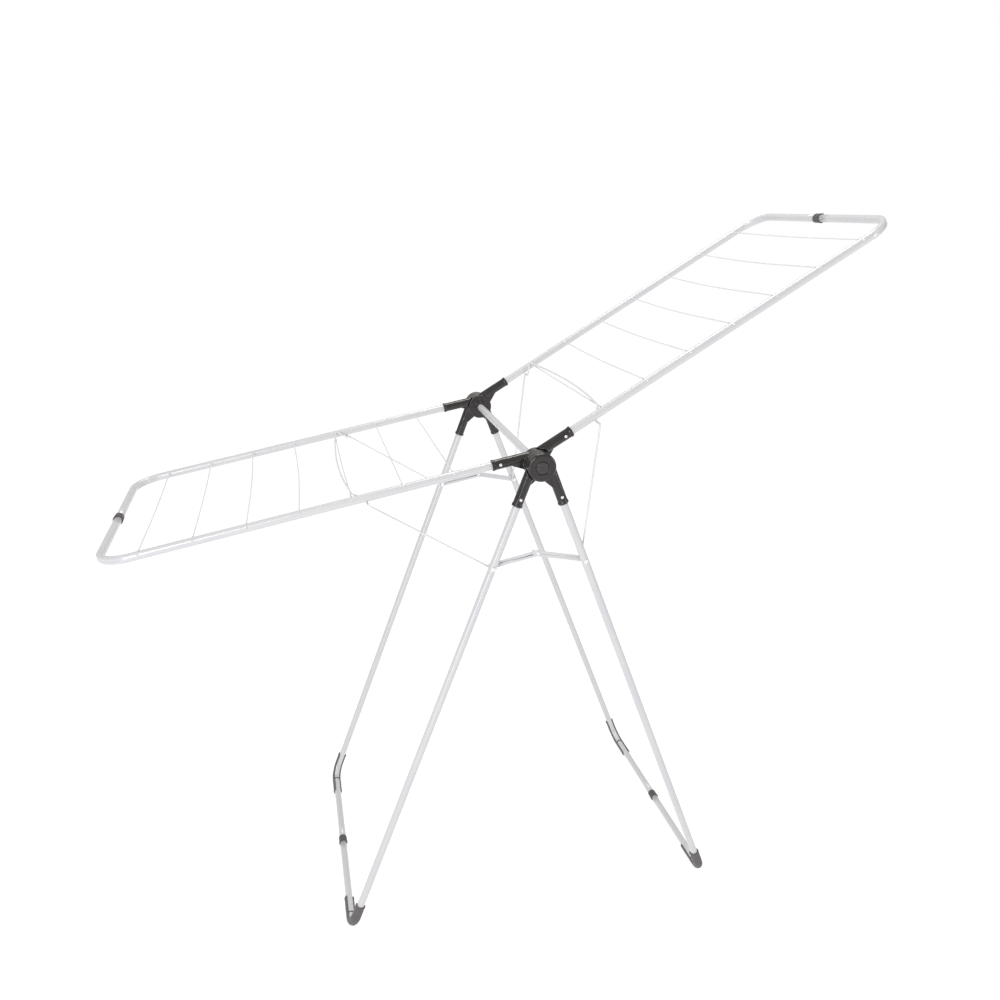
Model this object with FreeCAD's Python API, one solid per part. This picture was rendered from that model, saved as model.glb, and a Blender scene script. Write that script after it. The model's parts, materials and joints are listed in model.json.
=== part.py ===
"""Folding clothes drying rack: two U-shaped leg frames and two wings on one hub axis.

The rack stands on Z = 0. X runs across it from the left leg to the right one, and Y along the hub
axis, from the front (-Y) to the back (+Y). The origin is on the floor, midway between the ends of
the two wings. Every size is in millimetres and every angle in degrees.

Each leg or wing is an "arm". A point on it is given by s, its distance from the hub axis along the
arm, by n, its distance from that line on the arm's outer or upper side, and by y.
"""

import FreeCAD
import Part

import math
import os

V = FreeCAD.Vector

# Tubes of the frames and of the axle
TUBE_D = 16.0
TUBE_WALL = 0.8
LEG_LENGTH = 1105.0
LEG_SPREAD = 21.2
WING_LENGTH = 830.0
WING_TUBE_Y = 271.5
LEG_STEP = 28.5
ARM_OFFSET = 16.0
LEG_BEND = 32.0
WING_BEND = 60.0
SPIGOT_LENGTH = 30.0
NECK_LENGTH = 4.0

# Hub leaves: a disc on the axle with a socket for the arm's tube
DISC_R = 28.0
DISC_EDGE = 1.2
INNER_LEAF = 11.4
OUTER_LEAF = 13.8
SOCKET_WALL = 2.0
SOCKET_LENGTH = 88.0
SOCKET_STOP = 36.0
COLLAR_LENGTH = 5.0
COLLAR_RISE = 1.0
GUSSET_THICKNESS = 4.0
GUSSET_REACH = 50.0
GUSSET_HEEL = 16.0
GUSSET_SEAT = 3.0
GUSSET_TIP = 1.5
GUSSET_SINK = 4.0
BOSS_R = 14.0
BOSS_LENGTH = 9.0
DOME_EDGE = 5.0
CAP_R = 12.5
CAP_THICKNESS = 3.0
CAP_PLUG_LENGTH = 15.0
RIVET_D = 3.2
RIVET_REACH = 72.0
RIVET_HEAD_R = 2.9
RIVET_HEAD = 1.2
RIVET_TAIL_R = 2.4
RIVET_TAIL = 2.0
HEAD_ROUNDING = 0.7

# Rungs
RUNG_D = 2.5
RUNG_COUNT = 7
FIRST_RUNG = 162.0
LAST_RUNG_GAP = 77.0
RUNG_RISE = 4.0
RUNG_END = 2.2
RUNG_STOP = 4.0
RUNG_FLAT = (3.6, 1.5)

# Wire props that hold the wings up, hooked on a rung (counted from the hub)
WIRE_D = 3.8
WIRE_BEND = 6.0
PIVOT_REACH = 220.0
PROP_REACH = 304.0
HOOK_PASS = 15.5
PROP_BOW = 16.0
PROP_BOW_RISE = 4.0
PROP_BOW_POINTS = 5
PROP_BOW_BEND = 1000.0
EYE_TURN = 270.0
SEAT_RISE = 10.0
SEAT_BACK = 3.0
LEFT_RUNG = 3
RIGHT_RUNG = 1

# Folding struts between the legs, and their bolts
STRUT_WIDTH = 12.0
STRUT_THICKNESS = 2.0
KNUCKLE_RISE = 19.0
STOP_REACH = 13.0
STOP_LENGTH = 6.0
STOP_TAB = 1.6
BOLT_D = 5.0
BOLT_HEAD_R = 4.5
BOLT_HEAD = 1.6
KNUCKLE_PIN_D = 4.0
KNUCKLE_HEAD_R = 3.5
KNUCKLE_HEAD = 1.1

# Couplers and corner shoes
COUPLER_LENGTH = 22.0
COUPLER_WALL = 1.6
COUPLER_BEAD = 0.5
COUPLER_BEAD_LENGTH = 3.0
SHOE_WALL = 2.6
SHOE_LEG_ARM = 28.0
SHOE_BAR_ARM = 60.0
SHOE_SLOT = 105.0
SHOE_FLARE = 0.5
SHOE_FLARE_LENGTH = 4.0
SHOE_BAND = 4.0
SHOE_BAND_REACH = 5.0
SHOE_BAND_WALL = 1.2
SOLE_FLAT = 0.4

# Clearances
RUN_GAP = 0.05
SLIDE_GAP = 0.3
FIT_GAP = 0.1
DISC_GAP = 1.3
TUBE_GAP = 0.5
OVERCUT = 1.0
TOLERANCE = 1e-6

# Values that follow from those
TUBE_R = TUBE_D / 2
TUBE_BORE_R = TUBE_R - TUBE_WALL
LEG_TUBE_Y = WING_TUBE_Y + LEG_STEP
RUNG_PITCH = (WING_LENGTH - LAST_RUNG_GAP - FIRST_RUNG) / (RUNG_COUNT - 1)
SOCKET_R = TUBE_R + SOCKET_WALL
WIRE_R = WIRE_D / 2
RUNG_R = RUNG_D / 2
PROP_HOOK = TUBE_D + HOOK_PASS
SHOE_BORE_R = TUBE_R + FIT_GAP
SHOE_R = SHOE_BORE_R + SHOE_WALL
BAR_Z = SHOE_R - SOLE_FLAT
HUB_Z = (BAR_Z + LEG_LENGTH * math.cos(math.radians(LEG_SPREAD))
         - ARM_OFFSET * math.sin(math.radians(LEG_SPREAD)))
ENDS = {"front": -1, "back": 1}
Y_AXIS = V(0, 1, 0)


class Arm:
    """A leg or a wing: side is -1 left or 1 right, angle is measured outwards from straight down."""

    def __init__(self, side, angle):
        a = math.radians(angle)
        self.side = side
        self.along = V(side * math.sin(a), 0, -math.cos(a))
        self.normal = V(side * math.cos(a), 0, math.sin(a))

    def at(self, s, n, y):
        return V(HUB_X, y, HUB_Z) + self.reach(s, n)

    def reach(self, s, n):
        return self.along * s + self.normal * n


def prop_fold(rung):
    """The angle between a wing and its leg when the prop is hooked on that rung."""
    seat_s = FIRST_RUNG + (rung - 1) * RUNG_PITCH - SEAT_BACK
    seat_n = ARM_OFFSET + SEAT_RISE
    seat_r = math.hypot(seat_s, seat_n)
    pivot_r = math.hypot(PIVOT_REACH, ARM_OFFSET)
    cosine = (seat_r ** 2 + pivot_r ** 2 - PROP_REACH ** 2) / (2 * seat_r * pivot_r)
    between = math.degrees(math.acos(cosine))
    seat_angle = math.degrees(math.atan2(seat_n, seat_s))
    pivot_angle = math.degrees(math.atan2(ARM_OFFSET, PIVOT_REACH))
    return between - seat_angle + pivot_angle


SIDES = {"left": -1, "right": 1}
LEGS = {name: Arm(side, LEG_SPREAD) for name, side in SIDES.items()}
PROP_RUNGS = {"left": LEFT_RUNG, "right": RIGHT_RUNG}
WINGS = {name: Arm(side, LEG_SPREAD + prop_fold(PROP_RUNGS[name])) for name, side in SIDES.items()}
HUB_X = -sum(wing.reach(WING_LENGTH, ARM_OFFSET).x for wing in WINGS.values()) / 2


# General shapes

def cylinder(radius, start, end):
    return Part.makeCylinder(radius, (end - start).Length, start, end - start)


def along_y(radius, x, z, y0, y1):
    """A cylinder parallel to Y, from y0 to y1."""
    low, high = min(y0, y1), max(y0, y1)
    return Part.makeCylinder(radius, high - low, V(x, low, z), Y_AXIS)


def join(shapes):
    fused = shapes[0].multiFuse(shapes[1:]) if len(shapes) > 1 else shapes[0]
    return fused.removeSplitter()


def section(centre, direction, outer_r, inner_r):
    """A round face, or a ring when inner_r isn't 0."""
    outer = Part.Face(Part.Wire(Part.makeCircle(outer_r, centre, direction)))
    if not inner_r:
        return outer
    inner = Part.Face(Part.Wire(Part.makeCircle(inner_r, centre, direction)))
    return outer.cut(inner).Faces[0]


def sweep(points, bends, outer_r, inner_r=0.0):
    """A round bar or tube through points, with one bend radius for each point between the ends."""
    pieces = []
    start = points[0]
    for before, corner, after, radius in zip(points, points[1:], points[2:], bends):
        t0 = (corner - before).normalize()
        t1 = (after - corner).normalize()
        turn = t0.getAngle(t1)
        setback = radius * math.tan(turn / 2)
        bend_start = corner - t0 * setback
        centre = bend_start + (t1 - t0 * t0.dot(t1)).normalize() * radius
        pieces.append(section(start, t0, outer_r, inner_r).extrude(bend_start - start))
        pieces.append(section(bend_start, t0, outer_r, inner_r).revolve(
            centre, t0.cross(t1), math.degrees(turn)))
        start = corner + t1 * setback
    t1 = (points[-1] - points[-2]).normalize()
    pieces.append(section(start, t1, outer_r, inner_r).extrude(points[-1] - start))
    return join(pieces)


def plate(corners, y0, y1):
    """A flat plate: an outline of (x, z) corners, from y0 to y1."""
    low, high = min(y0, y1), max(y0, y1)
    outline = [V(x, low, z) for x, z in corners]
    return Part.Face(Part.makePolygon(outline + outline[:1])).extrude(V(0, high - low, 0))


def flat_bar(p, q, width, y0, y1):
    """A flat bar with round ends, from p to q, both in the plane Y = 0."""
    across = (q - p).normalize().cross(Y_AXIS) * (width / 2)
    corners = [(c.x, c.z) for c in (p + across, q + across, q - across, p - across)]
    ends = [along_y(width / 2, c.x, c.z, y0, y1) for c in (p, q)]
    return join([plate(corners, y0, y1)] + ends)


def rounded_head(radius, x, z, face_y, top_y):
    """A low round head that stands on face_y and ends at top_y."""
    head = along_y(radius, x, z, face_y, top_y)
    rim = [e for e in head.Edges if len(e.Vertexes) == 1 and abs(e.CenterOfMass.y - top_y) < TOLERANCE]
    return head.makeFillet(abs(top_y - face_y) * HEAD_ROUNDING, rim)


# Frames of bent tube

def frame_half(arm, end, tube_y, length, bend):
    """Half of a U frame. The front half ends in a necked spigot that slides into the back half."""
    corner = arm.at(length, ARM_OFFSET, end * tube_y)
    stop = -NECK_LENGTH if end < 0 else 0.0
    middle = arm.at(length, ARM_OFFSET, stop)
    first = arm.at(SOCKET_STOP, ARM_OFFSET, end * tube_y)
    tube = sweep([first, corner, middle], [bend], TUBE_R, TUBE_BORE_R)
    if end > 0:
        return tube
    spigot_r = TUBE_BORE_R - FIT_GAP
    bore_r = spigot_r - TUBE_WALL
    axis = arm.at(length, ARM_OFFSET, 0.0)
    profile = [(TUBE_BORE_R, stop), (TUBE_R, stop), (spigot_r, -SLIDE_GAP), (spigot_r, SPIGOT_LENGTH),
               (bore_r, SPIGOT_LENGTH), (bore_r, -SLIDE_GAP)]
    outline = [V(axis.x + r, y, axis.z) for r, y in profile]
    neck = Part.Face(Part.makePolygon(outline + outline[:1])).revolve(axis, Y_AXIS, 360)
    return join([tube, neck])


def coupler(arm, length):
    """The plastic ring over the joint in the middle of a frame's end bar."""
    centre = arm.at(length, ARM_OFFSET, 0.0)
    bore_r = TUBE_R + FIT_GAP
    half = COUPLER_LENGTH / 2
    ring = along_y(bore_r + COUPLER_WALL, centre.x, centre.z, -half, half)
    bead = along_y(bore_r + COUPLER_WALL + COUPLER_BEAD, centre.x, centre.z, -half,
                   -half + COUPLER_BEAD_LENGTH)
    return join([ring, bead]).cut(along_y(bore_r, centre.x, centre.z, -half, half))


def rung_reach(number):
    return FIRST_RUNG + number * RUNG_PITCH


def wing_tube(arm, end):
    tube = frame_half(arm, end, WING_TUBE_Y, WING_LENGTH, WING_BEND)
    holes = [rivet_hole(arm, end, WING_TUBE_Y)]
    for number in range(RUNG_COUNT):
        hole = arm.at(rung_reach(number), ARM_OFFSET + RUNG_RISE, 0.0)
        y0, y1 = end * (WING_TUBE_Y - TUBE_D), end * (WING_TUBE_Y + TUBE_D)
        holes.append(along_y(RUNG_R + FIT_GAP, hole.x, hole.z, y0, y1))
    return tube.cut(holes)


def leg_tube(arm, end):
    tube = frame_half(arm, end, LEG_TUBE_Y, LEG_LENGTH, LEG_BEND)
    pivot = arm.at(PIVOT_REACH, ARM_OFFSET, 0.0)
    y0, y1 = end * (LEG_TUBE_Y - TUBE_D), end * (LEG_TUBE_Y + TUBE_D)
    bolt_hole = along_y(BOLT_D / 2 + FIT_GAP, pivot.x, pivot.z, y0, y1)
    return tube.cut([rivet_hole(arm, end, LEG_TUBE_Y), bolt_hole])


def rung_stops():
    """How far from the middle the pressed flats inside and outside a wing tube start and end."""
    face = math.sqrt(TUBE_R ** 2 - (RUNG_RISE - RUNG_FLAT[1] / 2) ** 2) + FIT_GAP
    return {"inside": (WING_TUBE_Y - face - RUNG_STOP, WING_TUBE_Y - face),
            "outside": (WING_TUBE_Y + face, WING_TUBE_Y + face + RUNG_END)}


def rung(arm, number):
    """A wire rung through both wing tubes, pressed flat on each side of them."""
    centre = arm.at(rung_reach(number), ARM_OFFSET + RUNG_RISE, 0.0)
    stops = rung_stops()
    reach = stops["outside"][1]
    wire = along_y(RUNG_R, centre.x, centre.z, -reach, reach)
    half_s, half_n = RUNG_FLAT[0] / 2, RUNG_FLAT[1] / 2
    corners = [centre + arm.along * (a * half_s) + arm.normal * (b * half_n)
               for a, b in ((-1, -1), (1, -1), (1, 1), (-1, 1))]
    outline = [(c.x, c.z) for c in corners]
    flats = [plate(outline, end * near, end * far)
             for end in ENDS.values() for near, far in stops.values()]
    return join([wire] + flats)


# Hubs

def leaf_layers():
    """The span of each leaf along the axle, from the middle of the rack outwards."""
    wing_split, leg_split = WING_TUBE_Y, LEG_TUBE_Y
    half_gap = SLIDE_GAP / 2
    return {
        ("wing", "right"): (wing_split - INNER_LEAF, wing_split - half_gap),
        ("wing", "left"): (wing_split + half_gap, wing_split + OUTER_LEAF),
        ("leg", "left"): (wing_split + OUTER_LEAF + SLIDE_GAP, leg_split - half_gap),
        ("leg", "right"): (leg_split + half_gap, leg_split + OUTER_LEAF),
    }


LAYERS = leaf_layers()
AXLE_END = LAYERS["leg", "right"][1] - CAP_THICKNESS


def rivet_hole(arm, end, tube_y):
    centre = arm.at(RIVET_REACH, ARM_OFFSET, 0.0)
    return along_y(RIVET_D / 2 + FIT_GAP, centre.x, centre.z, end * tube_y, end * (tube_y + TUBE_D))


def hub_disc(end, layer, edge):
    disc = along_y(DISC_R, HUB_X, HUB_Z, end * layer[0], end * layer[1])
    outer = [e for e in disc.Edges
             if len(e.Vertexes) == 1 and abs(e.CenterOfMass.y - end * layer[1]) < TOLERANCE]
    return disc.makeFillet(edge, outer)


def hub_leaf(kind, name, end):
    """One leaf of a hub: its disc, the eccentric socket, a gusset between them and the bores."""
    arm = (LEGS if kind == "leg" else WINGS)[name]
    tube_y = LEG_TUBE_Y if kind == "leg" else WING_TUBE_Y
    layer = LAYERS[kind, name]
    outermost = (kind, name) == ("leg", "right")
    y = end * tube_y
    disc = hub_disc(end, layer, DOME_EDGE if outermost else DISC_EDGE)
    barrel = cylinder(SOCKET_R, arm.at(0, ARM_OFFSET, y), arm.at(SOCKET_LENGTH, ARM_OFFSET, y))
    collar = cylinder(SOCKET_R + COLLAR_RISE, arm.at(SOCKET_LENGTH - COLLAR_LENGTH, ARM_OFFSET, y),
                      arm.at(SOCKET_LENGTH, ARM_OFFSET, y))
    flank = ARM_OFFSET - SOCKET_R
    heel_s = (DISC_R - GUSSET_SEAT) * math.cos(math.radians(GUSSET_HEEL))
    heel_n = -(DISC_R - GUSSET_SEAT) * math.sin(math.radians(GUSSET_HEEL))
    outline = [(heel_s, flank + GUSSET_SINK), (heel_s, heel_n), (GUSSET_REACH, flank + GUSSET_TIP),
               (GUSSET_REACH, flank + GUSSET_SINK)]
    corners = [arm.at(s, n, 0) for s, n in outline]
    middle = (layer[0] + layer[1]) / 2
    gusset = plate([(c.x, c.z) for c in corners], end * (middle - GUSSET_THICKNESS / 2),
                   end * (middle + GUSSET_THICKNESS / 2))
    clear_r = DISC_R + DISC_GAP
    clearances = [along_y(clear_r, HUB_X, HUB_Z, end * (layer[0] - DISC_R), end * layer[0]),
                  along_y(clear_r, HUB_X, HUB_Z, end * layer[1], end * (layer[1] + DISC_R))]
    barrel = barrel.cut(clearances)
    solids = [disc, barrel, collar, gusset]
    if (kind, name) == ("wing", "right"):
        solids.append(along_y(BOSS_R, HUB_X, HUB_Z, end * (layer[0] - BOSS_LENGTH), end * layer[0]))
    leaf = join(solids)
    bore_r = TUBE_R + RUN_GAP
    cuts = [cylinder(bore_r, arm.at(SOCKET_STOP, ARM_OFFSET, y),
                     arm.at(SOCKET_LENGTH + OVERCUT, ARM_OFFSET, y)),
            along_y(bore_r, HUB_X, HUB_Z, end * (layer[0] - DISC_R), end * (layer[1] + DISC_R)),
            rivet_hole(arm, end, tube_y)]
    if outermost:
        cuts.append(along_y(CAP_R + TUBE_GAP, HUB_X, HUB_Z, end * AXLE_END,
                            end * (layer[1] + OVERCUT)))
    return leaf.cut(cuts)


def socket_rivets(kind, name):
    """The two blind rivets that hold a frame's tubes in their sockets, set from the outer sides."""
    arm = (LEGS if kind == "leg" else WINGS)[name]
    tube_y = LEG_TUBE_Y if kind == "leg" else WING_TUBE_Y
    centre = arm.at(RIVET_REACH, ARM_OFFSET, 0.0)
    rivets = []
    for end in ENDS.values():
        face = tube_y + SOCKET_R
        tail = tube_y + math.sqrt(TUBE_BORE_R ** 2 - RIVET_TAIL_R ** 2) - FIT_GAP
        shank = along_y(RIVET_D / 2, centre.x, centre.z, end * tail, end * face)
        heads = [rounded_head(RIVET_HEAD_R, centre.x, centre.z, end * face,
                              end * (face + RIVET_HEAD)),
                 rounded_head(RIVET_TAIL_R, centre.x, centre.z, end * tail,
                              end * (tail - RIVET_TAIL))]
        rivets.append(join([shank] + heads))
    return Part.makeCompound(rivets)


def cross_tube():
    """The axle: one tube through all eight leaves."""
    return along_y(TUBE_R, HUB_X, HUB_Z, -AXLE_END, AXLE_END).cut(
        along_y(TUBE_BORE_R, HUB_X, HUB_Z, -AXLE_END, AXLE_END))


def hub_cap(end):
    """The round cap in the outermost leaf, plugged into the end of the axle."""
    face = AXLE_END + SLIDE_GAP
    head = rounded_head(CAP_R, HUB_X, HUB_Z, end * face, end * (face + CAP_THICKNESS))
    plug = along_y(TUBE_BORE_R - FIT_GAP, HUB_X, HUB_Z, end * (AXLE_END - CAP_PLUG_LENGTH),
                   end * face)
    return join([head, plug])


# Corner shoes

def slotted_section(centre, direction, inward, outer_r):
    """A ring that is open on its inward side."""
    ring = section(centre, direction, outer_r, SHOE_BORE_R)
    half = math.radians(SHOE_SLOT / 2)
    across = direction.cross(inward)
    reach = 2 * outer_r / math.cos(half)
    corners = [centre, centre + inward * (reach * math.cos(half)) + across * (reach * math.sin(half)),
               centre + inward * (reach * math.cos(half)) - across * (reach * math.sin(half))]
    return ring.cut(Part.Face(Part.makePolygon(corners + corners[:1]))).Faces[0]


def shoe(arm, end):
    """A clip-on corner shoe: closed outside the bend, slotted inside it, with one thin band."""
    corner = arm.at(LEG_LENGTH, ARM_OFFSET, end * LEG_TUBE_Y)
    down, along_bar = arm.along, V(0, -end, 0)
    bend_start = corner - down * LEG_BEND
    bend_end = corner + along_bar * LEG_BEND
    centre = bend_start + along_bar * LEG_BEND
    leg_face = slotted_section(bend_start, down, along_bar, SHOE_R)
    bar_face = slotted_section(bend_end, along_bar, down * -1, SHOE_R)
    pieces = [leg_face.extrude(down * -SHOE_LEG_ARM),
              leg_face.revolve(centre, down.cross(along_bar), 90),
              bar_face.extrude(along_bar * SHOE_BAR_ARM)]
    flare_r = SHOE_R + SHOE_FLARE
    flare = SHOE_FLARE_LENGTH
    leg_flare = slotted_section(bend_start - down * SHOE_LEG_ARM, down, along_bar, flare_r)
    bar_flare = slotted_section(bend_end + along_bar * SHOE_BAR_ARM, along_bar, down * -1, flare_r)
    pieces.append(leg_flare.extrude(down * flare))
    pieces.append(bar_flare.extrude(along_bar * -flare))
    band = section(bend_end + along_bar * SHOE_BAND_REACH, along_bar,
                   SHOE_BORE_R + SHOE_BAND_WALL, SHOE_BORE_R)
    pieces.append(band.extrude(along_bar * SHOE_BAND))
    reach = LEG_BEND + SHOE_LEG_ARM + SHOE_BAR_ARM + SHOE_R
    above_floor = Part.makeBox(2 * reach, 2 * reach, 2 * reach,
                               V(corner.x - reach, corner.y - reach, 0))
    return join(pieces).common(above_floor)


# Bolts, struts and props

def stack(name):
    """Where each piece on a leg's bolt lies, from the leg tube towards the middle of the rack."""
    tube_face = LEG_TUBE_Y - TUBE_R
    right_bar = tube_face - SLIDE_GAP
    left_bar = right_bar - STRUT_THICKNESS - SLIDE_GAP
    bar = left_bar if name == "left" else right_bar
    wire = bar - STRUT_THICKNESS - SLIDE_GAP - WIRE_R
    return {"tube_face": tube_face, "bar": bar, "wire": wire, "head": wire - WIRE_R - SLIDE_GAP}


def pivot_bolts(name):
    """The two bolts through a leg's tubes that carry the struts and the prop."""
    pivot = LEGS[name].at(PIVOT_REACH, ARM_OFFSET, 0.0)
    head_face = stack(name)["head"]
    outer_face = LEG_TUBE_Y + TUBE_R + FIT_GAP
    bolts = []
    for end in ENDS.values():
        shank = along_y(BOLT_D / 2, pivot.x, pivot.z, end * head_face, end * outer_face)
        heads = [rounded_head(BOLT_HEAD_R, pivot.x, pivot.z, end * outer_face,
                              end * (outer_face + BOLT_HEAD)),
                 rounded_head(BOLT_HEAD_R, pivot.x, pivot.z, end * head_face,
                              end * (head_face - BOLT_HEAD))]
        bolts.append(join([shank] + heads))
    return Part.makeCompound(bolts)


def strut_spacers():
    """Washers that hold the left strut bars clear of the right ones."""
    pivot = LEGS["left"].at(PIVOT_REACH, ARM_OFFSET, 0.0)
    levels = stack("left")
    spacers = []
    for end in ENDS.values():
        y0, y1 = end * (levels["tube_face"] - FIT_GAP), end * (levels["bar"] + FIT_GAP)
        ring = along_y(BOLT_HEAD_R, pivot.x, pivot.z, y0, y1)
        spacers.append(ring.cut(along_y(BOLT_D / 2 + RUN_GAP, pivot.x, pivot.z, y0, y1)))
    return Part.makeCompound(spacers)


def knuckle():
    pivot = LEGS["right"].at(PIVOT_REACH, ARM_OFFSET, 0.0)
    return V(HUB_X, 0, pivot.z + KNUCKLE_RISE)


def strut_bar(name, end):
    """One bar of a folding strut, from its leg's bolt to the knuckle."""
    pivot = LEGS[name].at(PIVOT_REACH, ARM_OFFSET, 0.0)
    middle = knuckle()
    high = stack(name)["bar"]
    low = high - STRUT_THICKNESS
    pieces = [flat_bar(pivot, middle, STRUT_WIDTH, end * low, end * high)]
    if name == "right":
        pieces += stop_tab(pivot, middle, end, low, high)
    y0, y1 = end * (low - OVERCUT), end * (high + OVERCUT)
    holes = [along_y(BOLT_D / 2 + RUN_GAP, pivot.x, pivot.z, y0, y1),
             along_y(KNUCKLE_PIN_D / 2 + RUN_GAP, middle.x, middle.z, y0, y1)]
    return join(pieces).cut(holes)


def stop_tab(pivot, middle, end, low, high):
    """The right bar runs on past the knuckle, and its turned edge stops on top of the left bar."""
    out = (middle - pivot).normalize()
    up = out.cross(Y_AXIS) * (1 if out.x > 0 else -1)
    left = (middle - LEGS["left"].at(PIVOT_REACH, ARM_OFFSET, 0.0)).normalize()
    left_up = V(-left.z, 0, left.x)
    tip = middle + out * STOP_REACH
    back = tip - out * STOP_LENGTH
    half = STRUT_WIDTH / 2
    rise = (middle + left_up * (half + SLIDE_GAP) - back).dot(left_up) / up.dot(left_up)
    top = rise + STOP_TAB
    edge = [middle - up * half, tip + up * (rise - half), tip + up * top, middle + up * half]
    tongue = plate([(c.x, c.z) for c in edge], end * low, end * high)
    tab = [back + up * rise, tip + up * rise, tip + up * top, back + up * top]
    inner = low - SLIDE_GAP - STRUT_THICKNESS
    return [tongue, plate([(c.x, c.z) for c in tab], end * inner, end * low)]


def knuckle_pin(name, end):
    """Half of the knuckle's rivet: its head and the length of shank inside one bar."""
    middle = knuckle()
    high = stack(name)["bar"]
    low = high - STRUT_THICKNESS
    face, top = (low, low - KNUCKLE_HEAD) if name == "left" else (high, high + KNUCKLE_HEAD)
    other = high if name == "left" else low
    head = rounded_head(KNUCKLE_HEAD_R, middle.x, middle.z, end * face, end * top)
    shank = along_y(KNUCKLE_PIN_D / 2, middle.x, middle.z, end * other, end * face)
    return join([head, shank])


def prop(name):
    """A wire prop: an eye on each leg bolt, a jog under each wing tube and a bowed bar between."""
    leg, wing = LEGS[name], WINGS[name]
    seat_s = FIRST_RUNG + (PROP_RUNGS[name] - 1) * RUNG_PITCH - SEAT_BACK
    pivot = leg.at(PIVOT_REACH, ARM_OFFSET, 0.0)
    seat = wing.at(seat_s, ARM_OFFSET + SEAT_RISE, 0.0)
    eye_y = stack(name)["wire"]
    eye_r = BOLT_D / 2 + RUN_GAP + WIRE_R
    lean = math.degrees(math.asin(eye_r / PROP_REACH))
    direct = (seat - pivot).normalize()
    out = FreeCAD.Rotation(Y_AXIS, lean).multVec(direct)
    eye_side = FreeCAD.Rotation(Y_AXIS, lean - 90).multVec(direct)
    bow = V(out.z, 0, -out.x) * leg.side
    foot = pivot + eye_side * eye_r
    inner_y = rung_stops()["inside"][0] - TUBE_GAP - WIRE_R
    jog = seat - out * PROP_HOOK
    front = [(foot, eye_y), (jog, eye_y), (jog, inner_y), (seat, inner_y)]
    points = [place - Y_AXIS * y for place, y in front]
    for step in range(1, PROP_BOW_POINTS + 1):
        y = inner_y * (2 * step / (PROP_BOW_POINTS + 1) - 1)
        share = 1 - (y / inner_y) ** 2
        points.append(seat + (bow * PROP_BOW + out * PROP_BOW_RISE) * share + Y_AXIS * y)
    points += [place + Y_AXIS * y for place, y in reversed(front)]
    bends = [WIRE_BEND] * 3 + [PROP_BOW_BEND] * PROP_BOW_POINTS + [WIRE_BEND] * 3
    pieces = [sweep(points, bends, WIRE_R)]
    for end in ENDS.values():
        shift = Y_AXIS * (end * eye_y)
        pieces.append(section(foot + shift, out, WIRE_R, 0).revolve(
            pivot + shift, Y_AXIS * -1, EYE_TURN))
    return join(pieces)


def build():
    nodes = {"cross_tube": cross_tube(), "strut_spacers": strut_spacers()}
    for place, end in ENDS.items():
        nodes[f"hub_cap_{place}"] = hub_cap(end)
    for name in SIDES:
        nodes[f"{name}_leg_coupler"] = coupler(LEGS[name], LEG_LENGTH)
        nodes[f"{name}_wing_coupler"] = coupler(WINGS[name], WING_LENGTH)
        nodes[f"{name}_leg_rivets"] = socket_rivets("leg", name)
        nodes[f"{name}_wing_rivets"] = socket_rivets("wing", name)
        nodes[f"{name}_pivot_bolts"] = pivot_bolts(name)
        nodes[f"{name}_prop"] = prop(name)
        for number in range(RUNG_COUNT):
            nodes[f"{name}_rung_{number + 1}"] = rung(WINGS[name], number)
        for place, end in ENDS.items():
            nodes[f"{name}_leg_tube_{place}"] = leg_tube(LEGS[name], end)
            nodes[f"{name}_wing_tube_{place}"] = wing_tube(WINGS[name], end)
            nodes[f"{name}_leg_hub_{place}"] = hub_leaf("leg", name, end)
            nodes[f"{name}_wing_hub_{place}"] = hub_leaf("wing", name, end)
            nodes[f"{name}_shoe_{place}"] = shoe(LEGS[name], end)
            nodes[f"{name}_strut_{place}"] = strut_bar(name, end)
            nodes[f"{name}_knuckle_pin_{place}"] = knuckle_pin(name, end)
    return nodes


def main():
    os.makedirs("parts", exist_ok=True)
    for node, shape in build().items():
        shape.exportStep(f"parts/{node}.step")
        print(node, "solids", len(shape.Solids), "valid", shape.isValid(),
              "volume", round(shape.Volume))


main()
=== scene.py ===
"""The looks of a folding clothes drying rack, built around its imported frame.

All lengths are in metres, in the frame's own axes: X across the rack, Y from front to back, Z up.
"""

import json
import math

import bpy
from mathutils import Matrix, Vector

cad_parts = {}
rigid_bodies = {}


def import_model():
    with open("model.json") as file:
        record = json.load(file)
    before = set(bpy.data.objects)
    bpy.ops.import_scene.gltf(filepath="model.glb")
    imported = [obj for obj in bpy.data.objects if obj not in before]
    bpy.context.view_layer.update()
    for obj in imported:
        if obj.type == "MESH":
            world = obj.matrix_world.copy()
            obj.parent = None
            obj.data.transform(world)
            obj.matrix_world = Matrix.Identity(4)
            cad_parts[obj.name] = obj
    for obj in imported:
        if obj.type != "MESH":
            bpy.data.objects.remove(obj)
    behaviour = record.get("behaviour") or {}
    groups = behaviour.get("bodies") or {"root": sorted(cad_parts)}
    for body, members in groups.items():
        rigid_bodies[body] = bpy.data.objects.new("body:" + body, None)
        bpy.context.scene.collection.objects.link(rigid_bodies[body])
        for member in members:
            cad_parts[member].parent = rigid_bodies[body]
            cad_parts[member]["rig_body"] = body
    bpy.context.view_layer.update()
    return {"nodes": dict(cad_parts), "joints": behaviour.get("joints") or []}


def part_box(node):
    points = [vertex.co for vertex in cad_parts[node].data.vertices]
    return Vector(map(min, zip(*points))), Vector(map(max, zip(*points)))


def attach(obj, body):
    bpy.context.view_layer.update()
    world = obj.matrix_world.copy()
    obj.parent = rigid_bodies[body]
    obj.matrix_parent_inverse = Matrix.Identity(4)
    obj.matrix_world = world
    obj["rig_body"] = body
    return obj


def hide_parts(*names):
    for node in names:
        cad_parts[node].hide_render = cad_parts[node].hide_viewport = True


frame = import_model()
NODES = frame["nodes"]

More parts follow.
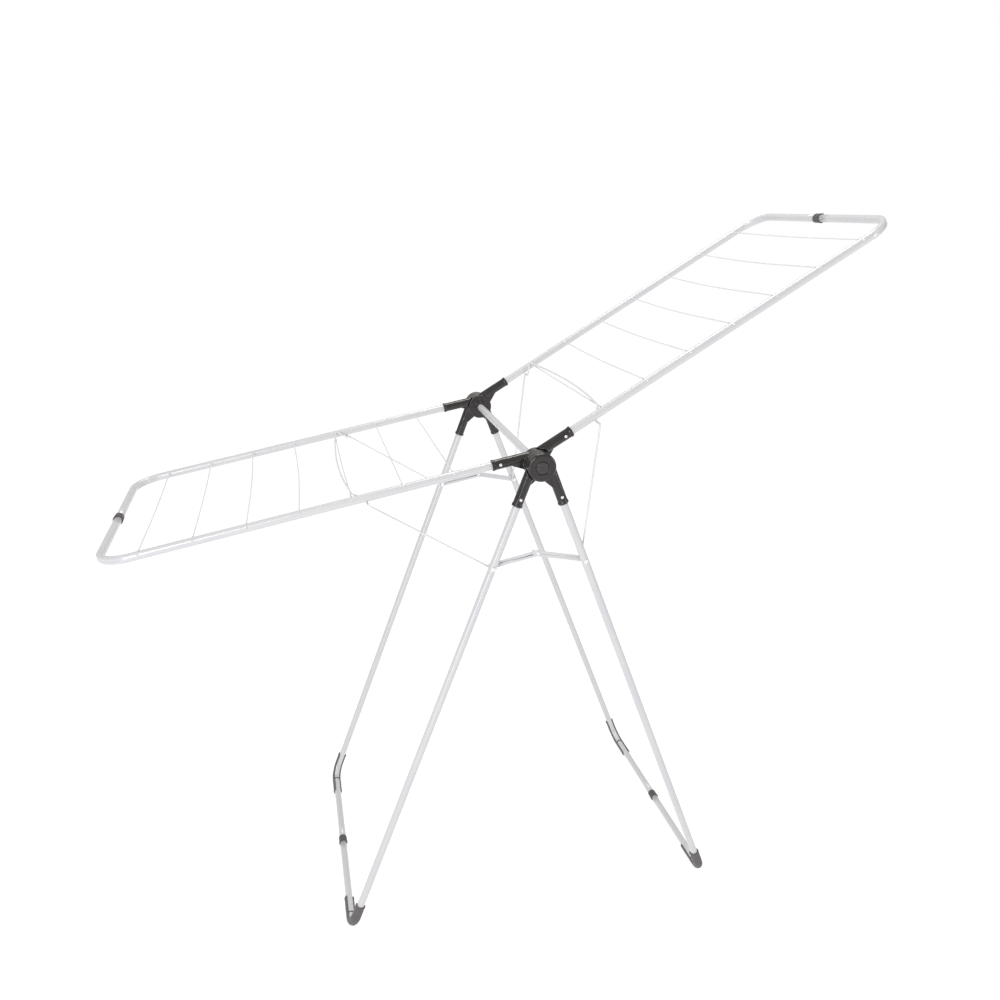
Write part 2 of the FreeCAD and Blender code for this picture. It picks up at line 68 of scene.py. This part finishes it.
SIDES = {"left": -1, "right": 1}
ENDS = {"front": -1, "back": 1}
HUB = Vector(next(j for j in frame["joints"] if j["name"] == "leg_fold")["pos_m"])

# Tubes of the frames: an arm lies beside the hub axis and starts at the stop inside its hub socket
TUBE_R = 0.008
ARM_OFFSET = 0.016
SOCKET_STOP = 0.036
BEND_R = {"leg": 0.032, "wing": 0.060}
TUBE_SIDES = 56
BEND_RINGS = 48
RUN_STEP = 0.05
MIN_RUN_STEPS = 2

# A bend's section, in shares of the tube's radius: the outer and the inner side are pressed in
# from FACE_FROM on, each with a low ridge, and the inner side has wrinkles along the bend
FACE_FROM = 0.62
OUTER_RIDGE = 0.15
INNER_FACE = 0.35
INNER_RIDGE = 0.10
WRINKLE = 0.03
WRINKLES = 5
BEND_GROWTH = {"leg": 0.0, "wing": 0.025}
BEND_RAMP = 4

# Rungs: round wire, with a pressed flat on each side of both tubes; a flat's half width and half
# thickness are given, and each rung lies a little above the tubes' centre lines
RUNG_COUNT = 7
RUNG_R = 0.00125
RUNG_FLAT = (0.0018, 0.00075)
RUNG_RISE = 0.004
RUNG_STOP = 0.004
RUNG_END = 0.0022
FIT_GAP = 0.0001
PRESS_RUN = 0.0016
PRESS_STEPS = 4
FLAT_SQUARENESS = 0.45
RUNG_SIDES = 20

# How far the middle of each rung bows towards the hub, from the hub outwards
BOW_STEPS = 18
BOW_FULLNESS = 1.5
BOWS = {"left": (0.0, 0.0, -0.0020, 0.0045, 0.0030, 0.0020, 0.0025),
        "right": (0.0, 0.0035, 0.0045, 0.0055, 0.0065, 0.0065, 0.0040)}

# Moulded pieces: voxel, rounds of smoothing and the share of faces that is kept
HUB_MOULD = (0.0008, 7, 0.6)
SHOE_MOULD = (0.0007, 5, 0.6)
SMALL_MOULD = (0.0005, 4, 0.6)
SMOOTH_FACTOR = 0.5

# Pieces that keep their own mesh
WELD_GAP = 1e-6
STRUT_BEVEL = 0.0003
BEVEL_ROUNDS = 2
SHARP_EDGE = math.radians(40)


# Materials

class Link:
    """A node's output socket. Sums on number sockets add Math nodes."""

    def __init__(self, sheet, socket):
        self.sheet = sheet
        self.socket = socket

    def sum(self, operation, *terms):
        return self.sheet.node("ShaderNodeMath", {"operation": operation},
                               dict(enumerate(terms)))

    def __add__(self, other):
        return self.sum("ADD", self, other)

    def __radd__(self, other):
        return self.sum("ADD", other, self)

    def __sub__(self, other):
        return self.sum("SUBTRACT", self, other)

    def __rsub__(self, other):
        return self.sum("SUBTRACT", other, self)

    def __mul__(self, other):
        return self.sum("MULTIPLY", self, other)

    def __rmul__(self, other):
        return self.sum("MULTIPLY", other, self)


class Sheet:
    """A node tree that is written as expressions."""

    def __init__(self, tree):
        self.tree = tree

    def node(self, kind, settings=None, inputs=None, output=0):
        """One node: its settings are set first, then the values or links of its sockets."""
        made = self.tree.nodes.new(kind)
        for key, value in (settings or {}).items():
            setattr(made, key, value)
        for key, value in (inputs or {}).items():
            self.feed(made.inputs[key], value)
        return Link(self, made.outputs[output])

    def feed(self, socket, value):
        if isinstance(value, Link):
            self.tree.links.new(value.socket, socket)
        else:
            socket.default_value = value


class Finish(Sheet):
    """A material with one principled shader."""

    def __init__(self, name):
        self.material = bpy.data.materials.new(name)
        self.material.use_nodes = True
        super().__init__(self.material.node_tree)
        self.shader = self.tree.nodes["Principled BSDF"]
        self.place = self.node("ShaderNodeTexCoord", output="Object")

    def noise(self, scale, detail=2.0, roughness=0.5, place=None):
        """Cloudy noise from 0 to 1, with scale lumps to the metre."""
        return self.node("ShaderNodeTexNoise", None, {
            "Vector": place or self.place, "Scale": scale, "Detail": detail,
            "Roughness": roughness})

    def stretched(self, factors):
        """The place with each axis scaled, for streaks."""
        return self.node("ShaderNodeVectorMath", {"operation": "MULTIPLY"},
                         {0: self.place, 1: factors})

    def step(self, value, low, high):
        """0 below low, 1 above high and smooth between."""
        return self.node("ShaderNodeMapRange", {"interpolation_type": "SMOOTHSTEP"}, {
            "Value": value, "From Min": low, "From Max": high})

    def blend(self, share, first, second):
        """A colour that goes from first to second."""
        return self.node("ShaderNodeMix", {"data_type": "RGBA"},
                         {0: share, 6: first, 7: second}, output=2)

    def bump(self, height, depth, below=None):
        """A relief of the given depth in metres, on top of another one."""
        inputs = {"Height": height, "Distance": depth, "Strength": 1.0}
        if below:
            inputs["Normal"] = below
        return self.node("ShaderNodeBump", None, inputs)

    def shade(self, **sockets):
        """Feeds the shader; an underscore stands for the space in a socket's name."""
        for key, value in sockets.items():
            self.feed(self.shader.inputs[key.replace("_", " ")], value)
        return self.material


def grey(value, warmth=0.0):
    """A light grey; warmth moves it from lilac to yellow."""
    return (value * (1 + warmth / 3), value * (1 + warmth / 2), value * (1 - warmth), 1.0)


def powder_coat(name, tone, scuffs=0.5):
    """Satin light grey powder coat: faint drift of tone, orange peel, dust and rubbed spots."""
    coat = Finish(name)
    drift = coat.noise(9.0, 3.0)
    cloud = coat.noise(55.0, 4.0, 0.6)
    rubbed = coat.step(coat.noise(38.0, 6.0, 0.7), 0.68, 0.82) * scuffs
    tint = coat.blend(coat.step(drift, 0.35, 0.65), grey(tone, -0.012),
                      grey(tone * 0.97, -0.030))
    tint = coat.blend(cloud * 0.15, tint, grey(tone * 0.90, 0.006))
    tint = coat.blend(rubbed * 0.4, tint, grey(tone * 0.75, 0.012))
    peel = coat.noise(900.0, 2.0, 0.5)
    grain = coat.noise(4200.0, 1.0, 0.5)
    relief = coat.bump(peel, 0.000012, coat.bump(grain, 0.000004))
    return coat.shade(Base_Color=tint, Roughness=0.26 + cloud * 0.06 + rubbed * 0.20,
                      Normal=relief, Metallic=0.12, Coat_Weight=0.15, Coat_Roughness=0.18)


def gloss_plastic(name, tone):
    """Glossy charcoal moulding: wavy flow marks, a fine skin, scratches and dusty hollows."""
    skin = Finish(name)
    flow = skin.noise(70.0, 2.0, 0.5)
    ripple = skin.noise(260.0, 2.0, 0.5)
    pebble = skin.noise(1500.0, 2.0, 0.5)
    streak = skin.noise(240.0, 4.0, 0.7, skin.stretched((1.0, 7.0, 1.4)))
    scratch = skin.step(streak, 0.62, 0.74)
    dust = skin.step(skin.noise(150.0, 5.0, 0.7), 0.56, 0.75)
    tint = skin.blend(skin.step(flow, 0.3, 0.7), (tone * 1.10, tone * 0.98, tone, 1.0),
                      (tone * 1.5, tone * 1.28, tone * 1.2, 1.0))
    tint = skin.blend(dust * 0.35, tint, (tone * 2.6, tone * 2.4, tone * 2.4, 1.0))
    relief = skin.bump(flow, 0.0010, skin.bump(ripple, 0.00010, skin.bump(pebble, 0.00001)))
    return skin.shade(Base_Color=tint, Normal=relief, Specular_IOR_Level=0.5,
                      Roughness=0.15 + ripple * 0.08 + scratch * 0.14 + dust * 0.08)


def matt_plastic(name, tone):
    """Matt dark grey moulding with a fine spark-eroded grain and paler rubbed patches."""
    skin = Finish(name)
    grain = skin.noise(1800.0, 3.0, 0.65)
    mottle = skin.noise(130.0, 4.0, 0.6)
    rubbed = skin.step(skin.noise(70.0, 5.0, 0.65), 0.56, 0.74)
    tint = skin.blend(skin.step(mottle, 0.3, 0.7), (tone * 1.06, tone * 0.97, tone * 1.02, 1.0),
                      (tone * 0.84, tone * 0.78, tone * 0.81, 1.0))
    tint = skin.blend(rubbed * 0.45, tint, (tone * 1.7, tone * 1.6, tone * 1.65, 1.0))
    relief = skin.bump(grain, 0.00010, skin.bump(mottle, 0.00012))
    return skin.shade(Base_Color=tint, Roughness=0.50 + mottle * 0.14 - rubbed * 0.12,
                      Normal=relief, Specular_IOR_Level=0.45)


def bright_steel(name, tone, roughness):
    """Zinc-plated steel: spangle, turning marks and small dull spots."""
    plate = Finish(name)
    spangle = plate.noise(700.0, 3.0, 0.6)
    turned = plate.noise(2600.0, 2.0, 0.6, plate.stretched((1.0, 0.15, 1.0)))
    dull = plate.step(plate.noise(420.0, 4.0, 0.6), 0.55, 0.72)
    tint = plate.blend(spangle, grey(tone, 0.01), grey(tone * 0.86, -0.02))
    tint = plate.blend(dull * 0.4, tint, grey(tone * 0.6, 0.02))
    relief = plate.bump(turned, 0.00003)
    return plate.shade(Base_Color=tint, Normal=relief, Metallic=0.85,
                       Roughness=roughness + spangle * 0.10 + dull * 0.15)


COATED_TUBE = powder_coat("satin_grey_tube_coat", 0.55)
COATED_WIRE = powder_coat("satin_grey_wire_coat", 0.64, 0.3)
COATED_BAR = powder_coat("satin_grey_bar_coat", 0.55, 0.7)
HUB_PLASTIC = gloss_plastic("glossy_charcoal_plastic", 0.014)
CAP_PLASTIC = gloss_plastic("button_charcoal_plastic", 0.024)
SHOE_PLASTIC = matt_plastic("matt_grey_plastic", 0.105)
COUPLER_PLASTIC = matt_plastic("coupler_dark_plastic", 0.075)
STEEL = bright_steel("bright_zinc_steel", 0.86, 0.18)
# Painted shade: dark steel for the rung flats on the back side of each tube, which lie in shade
# when seen from the front
SHADE_DARK_STEEL = bright_steel("dark_steel_painted_shade", 0.20, 0.34)


# Meshes

def add_object(name, data):
    """A new object in the scene."""
    made = bpy.data.objects.new(name, data)
    bpy.context.scene.collection.objects.link(made)
    return made


def new_piece(name, rings, faces, materials, node, face_materials=None):
    """A bar through rings of points, which stands for a CAD node."""
    vertices = [v for ring in rings for v in ring]
    mesh = bpy.data.meshes.new(name)
    mesh.from_pydata([tuple(v) for v in vertices], [], faces)
    mesh.validate()
    for material in materials:
        mesh.materials.append(material)
    if face_materials:
        mesh.polygons.foreach_set("material_index", face_materials)
    mesh.polygons.foreach_set("use_smooth", [len(f) == 4 for f in faces])
    mesh.update()
    stand_for(add_object(name, mesh), node)


def stand_for(piece, node):
    """The piece rides on the node's body and hides the node."""
    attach(piece, NODES[node]["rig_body"])
    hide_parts(node)


def skin_rings(rings):
    """The sides and two end faces of a bar whose rings all have the same number of points."""
    count = len(rings[0])
    faces = []
    for i in range(len(rings) - 1):
        a, b = i * count, (i + 1) * count
        faces += [(a + k, a + (k + 1) % count, b + (k + 1) % count, b + k) for k in range(count)]
    last = (len(rings) - 1) * count
    faces.append(tuple(range(count - 1, -1, -1)))
    faces.append(tuple(range(last, last + count)))
    return faces


def smooth_step(x):
    """0 up to 0, 1 from 1 on and smooth between."""
    x = min(1.0, max(0.0, x))
    return x * x * (3 - 2 * x)


def box_centre(node):
    """The middle of a node's box at rest."""
    low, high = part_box(node)
    return (low + high) / 2


def arm_axes(kind, side):
    """The end bar's middle, the arm's length, the way along it and its outer or upper normal."""
    bar = box_centre(f"{side}_{kind}_coupler")
    reach = Vector((bar.x - HUB.x, 0, bar.z - HUB.z))
    length = math.sqrt(reach.length_squared - ARM_OFFSET ** 2)
    turn = SIDES[side]
    aside = Vector((reach.z, 0, -reach.x)) * (-turn * ARM_OFFSET)
    along = (reach * length - aside) / reach.length_squared
    along.normalize()
    normal = Vector((-along.z * turn, 0, along.x * turn))
    return bar, length, along, normal


def tube_section(share, around):
    """A bent tube's section, with x inwards in the bend: both these sides are pressed in."""
    x, y = math.cos(around), math.sin(around)
    if abs(x) > FACE_FROM:
        across = abs(y) / math.sqrt(1 - FACE_FROM ** 2)
        ridge = math.sin(math.pi * across)
        if x < 0:
            pressed = -FACE_FROM - OUTER_RIDGE * ridge
        else:
            pressed = FACE_FROM + (1 - FACE_FROM) * INNER_FACE * (1 - across)
            pressed += INNER_RIDGE * ridge
        x += share * (pressed - x)
    return x, y


def straight_run(start, end):
    """Places along a straight run, with both its ends."""
    run = end - start
    steps = max(MIN_RUN_STEPS, round(run.length / RUN_STEP))
    return [start + run * (i / steps) for i in range(steps + 1)]


def frame_tube(kind, side, end):
    """Half of a U frame: straight arm, bend with pressed sides, and half the end bar."""
    node = f"{side}_{kind}_tube_{end}"
    sign = ENDS[end]
    bar, length, along, normal = arm_axes(kind, side)
    low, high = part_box(node)
    tube_y = low.y + TUBE_R if sign < 0 else high.y - TUBE_R
    radius = BEND_R[kind]
    corner = Vector((bar.x, tube_y, bar.z))
    bend_start = corner - along * radius
    to_middle = Vector((0, -sign, 0))
    centre = bend_start + to_middle * radius
    start = corner - along * (length - SOCKET_STOP)
    middle = Vector((bar.x, 0, bar.z))

    # Each station: its place, the way inwards in the bend, and its share of the bend if it is in it
    stations = [(place, to_middle, None) for place in straight_run(start, bend_start)[:-1]]
    for i in range(BEND_RINGS + 1):
        angle = math.pi / 2 * i / BEND_RINGS
        inwards = to_middle * math.cos(angle) - along * math.sin(angle)
        stations.append((centre - inwards * radius, inwards, i / BEND_RINGS))
    bar_end = corner + to_middle * radius
    stations += [(place, -along, None) for place in straight_run(bar_end, middle)[1:]]

    rings = []
    for place, inwards, turn in stations:
        share = 0.0 if turn is None else smooth_step(min(turn, 1 - turn) * BEND_RAMP)
        ring = []
        for k in range(TUBE_SIDES):
            around = 2 * math.pi * k / TUBE_SIDES
            x, y = tube_section(share, around)
            if x > 0 and share:
                x += share * WRINKLE * x ** 3 * math.sin(2 * math.pi * WRINKLES * turn)
            y *= 1 + share * BEND_GROWTH[kind]
            ring.append(place + inwards * (x * TUBE_R) + normal * (y * TUBE_R))
        rings.append(ring)
    new_piece(f"{node}_coated", rings, skin_rings(rings), [COATED_TUBE], node)


def rung_stations(reach, inside):
    """A rung's places along Y with their flatness, and half the length of its free part."""
    marks = [(-reach, 1.0),
             (-reach + RUNG_END, 1.0),
             (-reach + RUNG_END + PRESS_RUN / 2, 0.0),
             (-inside - PRESS_RUN / 2, 0.0),
             (-inside, 1.0),
             (-inside + RUNG_STOP, 1.0),
             (-inside + RUNG_STOP + PRESS_RUN, 0.0)]
    free = -marks[-1][0]
    marks += [(-y, flat) for y, flat in reversed(marks)]
    stations = []
    for (y0, f0), (y1, f1) in zip(marks, marks[1:]):
        parts = PRESS_STEPS if f0 != f1 else BOW_STEPS if y1 - y0 > free else 1
        stations += [(y0 + (y1 - y0) * i / parts, f0 + (f1 - f0) * smooth_step(i / parts))
                     for i in range(parts)]
    stations.append(marks[-1])
    return stations, free


def pressed_rung(side, number):
    """A wire rung, pressed flat on each side of both wing tubes; the flat on the back side of each
    tube is painted dark steel as painted shade.
    """
    node = f"{side}_rung_{number}"
    centre = box_centre(node)
    low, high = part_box(node)
    reach = (high.y - low.y) / 2
    half_hole = math.sqrt(TUBE_R ** 2 - (RUNG_RISE - RUNG_FLAT[1]) ** 2) + FIT_GAP
    inside = reach - 2 * half_hole - RUNG_END
    _, _, along, normal = arm_axes("wing", side)
    stations, free = rung_stations(reach, inside)
    bow = BOWS[side][number - 1]
    rings = []
    for y, flat in stations:
        sag = bow * (1 - min(1.0, abs(y) / free) ** 2) ** BOW_FULLNESS
        place = Vector((centre.x, y, centre.z)) - along * sag
        squareness = 1 - FLAT_SQUARENESS * flat
        wide = RUNG_R + (RUNG_FLAT[0] - RUNG_R) * flat
        thick = RUNG_R + (RUNG_FLAT[1] - RUNG_R) * flat
        ring = []
        for k in range(RUNG_SIDES):
            around = 2 * math.pi * k / RUNG_SIDES
            c, s = math.cos(around), math.sin(around)
            c = math.copysign(abs(c) ** squareness, c)
            s = math.copysign(abs(s) ** squareness, s)
            ring.append(place + along * (c * wide) + normal * (s * thick))
        rings.append(ring)
    faces = skin_rings(rings)
    # The front tube's inner flats and the back tube's outer flats get the dark steel, as painted
    # shade
    flats_painted_shade = [(-inside - PRESS_RUN, -inside + RUNG_STOP + PRESS_RUN),
              (reach - RUNG_END - PRESS_RUN, math.inf)]
    marked = []
    for face in faces:
        y = sum(rings[v // RUNG_SIDES][v % RUNG_SIDES].y for v in face) / len(face)
        marked.append(1 if any(a < y < b for a, b in flats_painted_shade) else 0)
    new_piece(f"{node}_pressed", rings, faces, [COATED_WIRE, SHADE_DARK_STEEL], node,
              marked)


def weld(piece):
    """Joins the points that the node's mesh has twice along its edges."""
    piece.modifiers.new("weld", "WELD").merge_threshold = WELD_GAP


def moulded(node, material, mould):
    """A copy of a node with the soft edges of a moulding."""
    voxel, rounds, keep = mould
    piece = add_object(f"{node}_moulded", NODES[node].data.copy())
    weld(piece)
    remesh = piece.modifiers.new("remesh", "REMESH")
    remesh.mode = "VOXEL"
    remesh.voxel_size = voxel
    smooth = piece.modifiers.new("smooth", "SMOOTH")
    smooth.factor = SMOOTH_FACTOR
    smooth.iterations = rounds
    piece.modifiers.new("thin", "DECIMATE").ratio = keep
    bake_modifiers(piece, material)
    stand_for(piece, node)


def bake_modifiers(piece, material):
    """Turns the piece's modifiers into its own smooth mesh of one material."""
    graph = bpy.context.evaluated_depsgraph_get()
    mesh = bpy.data.meshes.new_from_object(piece.evaluated_get(graph))
    piece.modifiers.clear()
    piece.data = mesh
    mesh.materials.clear()
    mesh.materials.append(material)
    mesh.polygons.foreach_set("use_smooth", [True] * len(mesh.polygons))
    mesh.polygons.foreach_set("material_index", [0] * len(mesh.polygons))
    mesh.update()


def finish_node(node, material, bevel=0.0):
    """A node that keeps its own shape gets its finish, and its edges a small bevel if asked."""
    piece = NODES[node]
    piece.data.materials.clear()
    piece.data.materials.append(material)
    if bevel:
        weld(piece)
        edge = piece.modifiers.new("edge", "BEVEL")
        edge.width = bevel
        edge.segments = BEVEL_ROUNDS
        edge.limit_method = "ANGLE"
        edge.angle_limit = SHARP_EDGE
        edge.harden_normals = True


for side in SIDES:
    for end in ENDS:
        for kind in ("leg", "wing"):
            frame_tube(kind, side, end)
            moulded(f"{side}_{kind}_hub_{end}", HUB_PLASTIC, HUB_MOULD)
        moulded(f"{side}_shoe_{end}", SHOE_PLASTIC, SHOE_MOULD)
        finish_node(f"{side}_strut_{end}", COATED_BAR, STRUT_BEVEL)
        finish_node(f"{side}_knuckle_pin_{end}", STEEL)
    for kind in ("leg", "wing"):
        moulded(f"{side}_{kind}_coupler", COUPLER_PLASTIC, SMALL_MOULD)
        finish_node(f"{side}_{kind}_rivets", STEEL)
    for number in range(1, RUNG_COUNT + 1):
        pressed_rung(side, number)
    finish_node(f"{side}_prop", COATED_WIRE)
    finish_node(f"{side}_pivot_bolts", STEEL)
for end in ENDS:
    moulded(f"hub_cap_{end}", CAP_PLASTIC, SMALL_MOULD)
finish_node("cross_tube", COATED_TUBE)
finish_node("strut_spacers", STEEL)


# Studio

ROOM_LIGHT = 0.66
ROOM_TINT = (1, 0.985, 0.955, 1)
WHITE = (1, 1, 1, 1)
FLOOR_SIZE = 40.0
FLOOR_GREYS = (0.42, 0.40)
FLOOR_GLOW = 0.75
RACK_MIDDLE = Vector((0.0, 0.0, 0.75))

# Each softbox: its place, width, height, power in watts and tint
SOFTBOXES = {
    "softbox_left": ((-2.0, -3.0, 2.3), 1.5, 1.6, 62, (0.97, 0.98, 1.0)),
    "softbox_low": ((-2.2, -3.0, 0.5), 0.6, 1.0, 14, (1, 1, 1)),
    "softbox_right": ((2.8, -1.8, 1.6), 0.5, 1.4, 16, (1.0, 0.985, 0.97)),
    "softbox_top": ((0.2, 0.7, 3.6), 1.4, 1.0, 44, (1.0, 0.975, 0.92)),
}

CAMERA_FROM_HUB = Vector((-0.4491, -1.8965, 0.4602))
CAMERA_AZIMUTH = math.radians(-13.033)
CAMERA_ELEVATION = math.radians(21.111)
CAMERA_LENS = 32.483
CAMERA_SENSOR = 36.0
CAMERA_SHIFT = 0.0547
CAMERA_REACH = (0.05, 100.0)


def world_light():
    """A white backdrop, in a room that is lit more softly."""
    world = bpy.data.worlds.new("white_room")
    bpy.context.scene.world = world
    world.use_nodes = True
    sheet = Sheet(world.node_tree)
    room = sheet.tree.nodes["Background"]
    sheet.feed(room.inputs["Color"], ROOM_TINT)
    sheet.feed(room.inputs["Strength"], ROOM_LIGHT)
    backdrop = sheet.node("ShaderNodeBackground", None, {"Color": WHITE, "Strength": 1.0})
    seen = sheet.node("ShaderNodeLightPath", output="Is Camera Ray")
    mix = sheet.node("ShaderNodeMixShader", None,
                     {0: seen, 1: Link(sheet, room.outputs["Background"]), 2: backdrop})
    sheet.feed(sheet.tree.nodes["World Output"].inputs["Surface"], mix)


def floor():
    """A wide sheet of white paper under the feet."""
    paper = Finish("white_paper_floor")
    first, second = FLOOR_GREYS
    tint = paper.blend(paper.noise(3.0, 3.0), grey(first), grey(second))
    paper.shade(Base_Color=tint, Roughness=0.9, Emission_Color=(0.98, 0.97, 1.0, 1.0),
                Emission_Strength=FLOOR_GLOW, Specular_IOR_Level=0.2)
    half = FLOOR_SIZE / 2
    mesh = bpy.data.meshes.new("studio_floor")
    mesh.from_pydata([(-half, -half, 0), (half, -half, 0), (half, half, 0), (-half, half, 0)], [],
                     [(0, 1, 2, 3)])
    mesh.materials.append(paper.material)
    add_object("studio_floor", mesh)


def softbox(name, place, width, height, power, tint):
    """A rectangular lamp that faces the middle of the rack."""
    lamp = bpy.data.lights.new(name, "AREA")
    lamp.shape = "RECTANGLE"
    lamp.size = width
    lamp.size_y = height
    lamp.energy = power
    lamp.color = tint
    box = add_object(name, lamp)
    box.location = place
    box.rotation_mode = "QUATERNION"
    box.rotation_quaternion = (RACK_MIDDLE - Vector(place)).to_track_quat("-Z", "Y")


def camera():
    """The camera, placed from the hub axis."""
    back = Vector((math.sin(CAMERA_AZIMUTH) * math.cos(CAMERA_ELEVATION),
                   -math.cos(CAMERA_AZIMUTH) * math.cos(CAMERA_ELEVATION),
                   math.sin(CAMERA_ELEVATION)))
    eye = bpy.data.cameras.new("camera")
    eye.lens = CAMERA_LENS
    eye.sensor_width = CAMERA_SENSOR
    eye.shift_y = CAMERA_SHIFT
    eye.clip_start, eye.clip_end = CAMERA_REACH
    viewer = add_object("camera", eye)
    viewer.location = HUB + CAMERA_FROM_HUB
    viewer.rotation_mode = "QUATERNION"
    viewer.rotation_quaternion = (-back).to_track_quat("-Z", "Y")
    bpy.context.scene.camera = viewer


world_light()
floor()
for name, settings in SOFTBOXES.items():
    softbox(name, *settings)
camera()
bpy.context.scene.view_settings.view_transform = "Standard"
